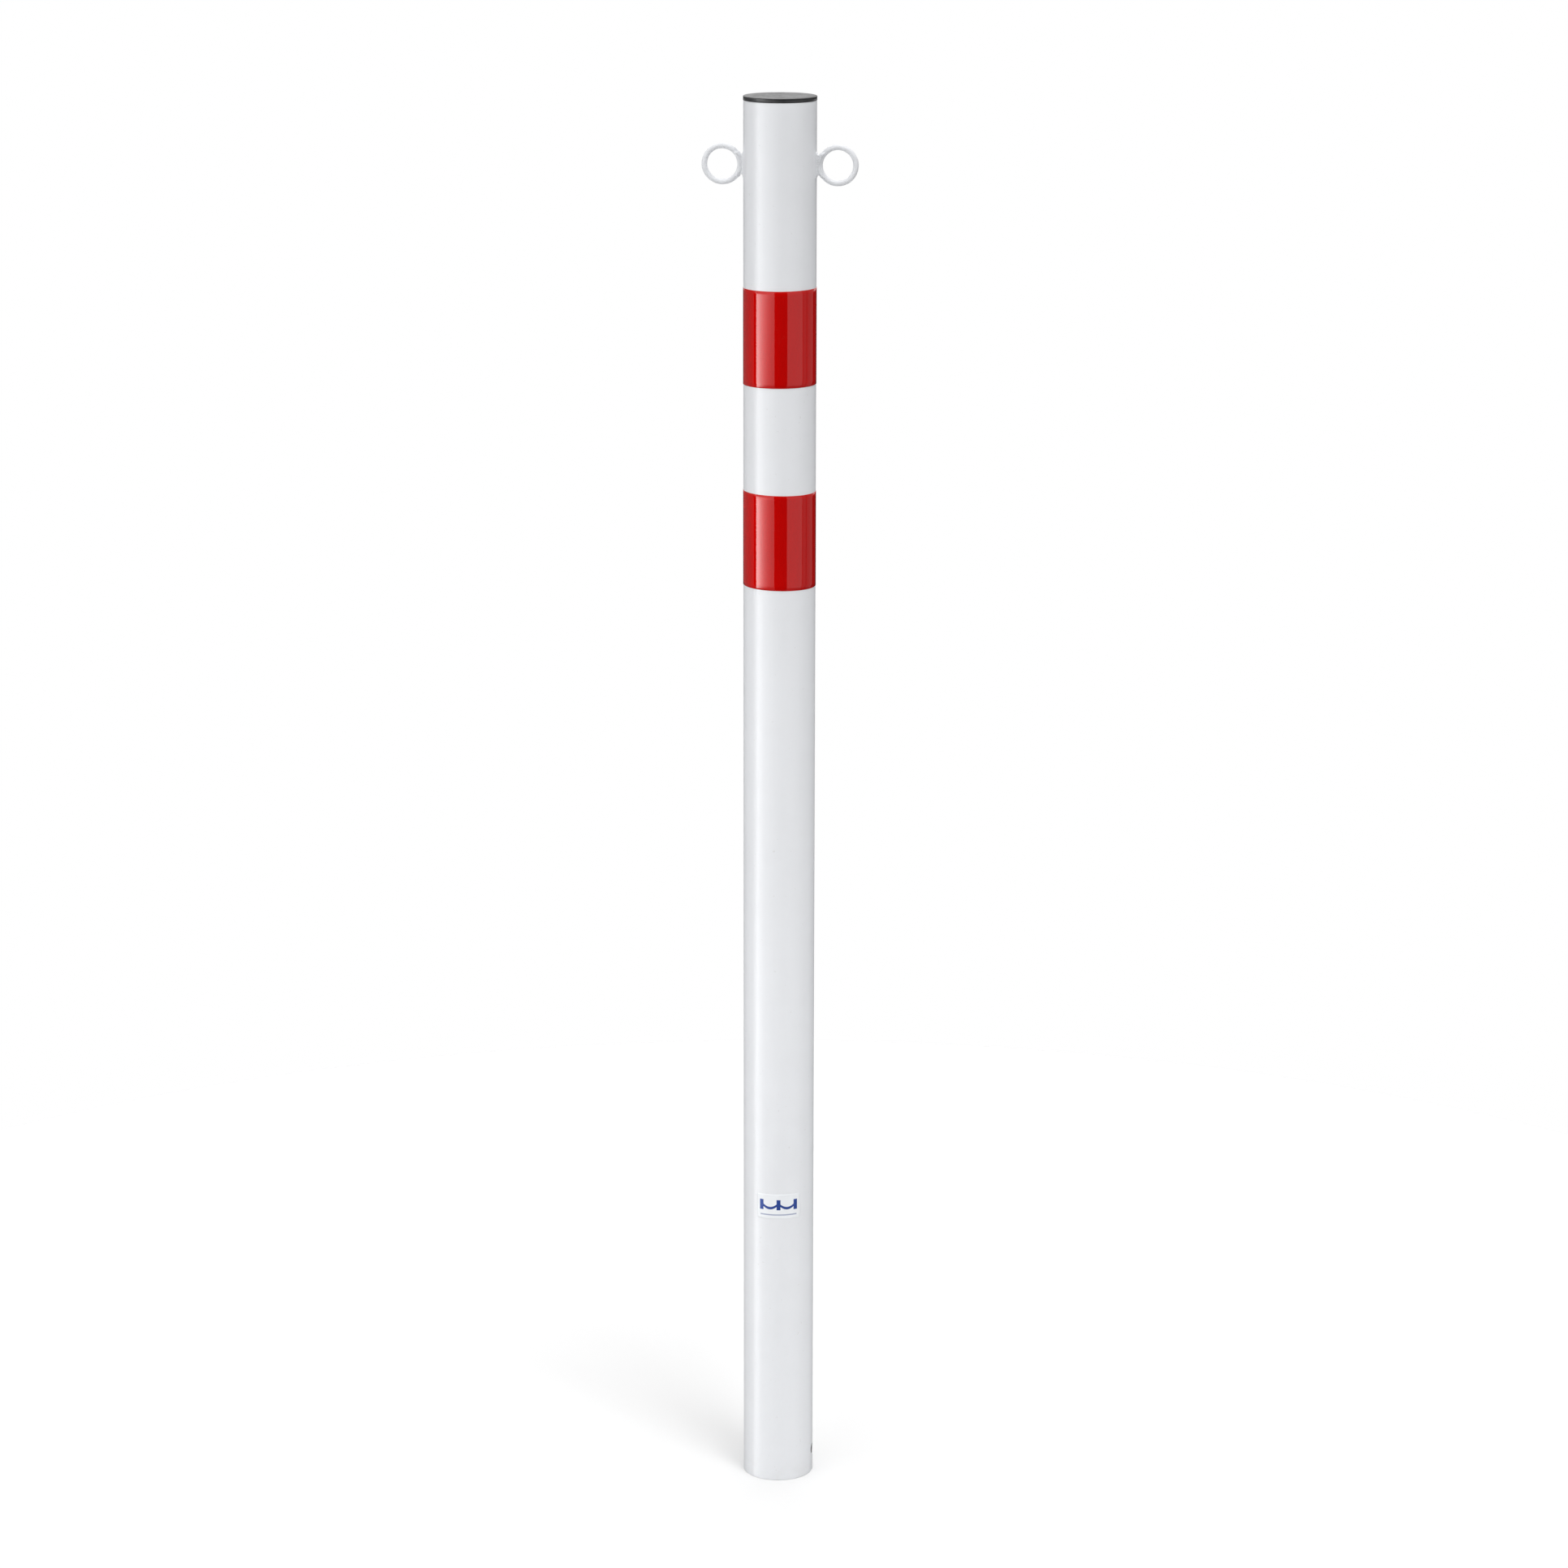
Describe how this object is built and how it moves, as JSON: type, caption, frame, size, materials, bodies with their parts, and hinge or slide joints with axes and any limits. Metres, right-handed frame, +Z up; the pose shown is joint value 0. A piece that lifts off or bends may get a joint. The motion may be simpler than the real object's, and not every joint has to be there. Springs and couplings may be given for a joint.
{
  "type": "chain barrier post",
  "caption": "Straight tubular post for a chain barrier: coated steel tube with a plugged top, welded chain rings, reflective bands and a cross hole near its foot.",
  "frame": {"origin": "centre of the tube's foot, on the surface it stands on", "axes": "+Z up along the tube's axis, +X towards one chain ring and -X towards the other, the label faces -Y"},
  "size_m": [0.1296, 0.061, 1.2],
  "materials": {
    "white_coating": "gloss powder coating on steel",
    "black_plastic": "moulded, fine texture",
    "red_reflective_film": "glossy retroreflective film",
    "printed_label": null
  },
  "bodies": {
    "root": {"post_tube": "white_coating", "chain_ring_right": "white_coating", "chain_ring_left": "white_coating", "weld_bead_right_upper": "white_coating", "weld_bead_right_lower": "white_coating", "weld_bead_left_upper": "white_coating", "weld_bead_left_lower": "white_coating", "end_cap": "black_plastic", "reflective_band_upper": "red_reflective_film", "reflective_band_lower": "red_reflective_film", "label": "printed_label"}
  },
  "joints": []
}
